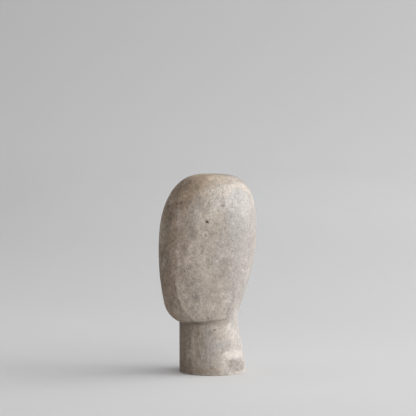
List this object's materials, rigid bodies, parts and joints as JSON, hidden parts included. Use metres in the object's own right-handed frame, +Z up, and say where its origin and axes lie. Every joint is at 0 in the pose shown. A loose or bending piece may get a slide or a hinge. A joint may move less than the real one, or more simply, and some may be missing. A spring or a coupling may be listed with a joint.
{
  "type": "stone head sculpture",
  "caption": "Carved stone ornament: a smooth, faceless egg-shaped head with flattened cheeks on a short round neck that stands on its flat underside.",
  "frame": {"origin": "centre of the neck's flat underside", "axes": "+Z up, -Y toward the front of the head, +Y toward the nape, +X toward the head's left cheek"},
  "size_m": [0.1152, 0.1623, 0.3286],
  "materials": {
    "stone": "matt, finely worn, with small pits and mottled veins"
  },
  "bodies": {
    "root": {"head_sculpture": "stone"}
  },
  "joints": []
}
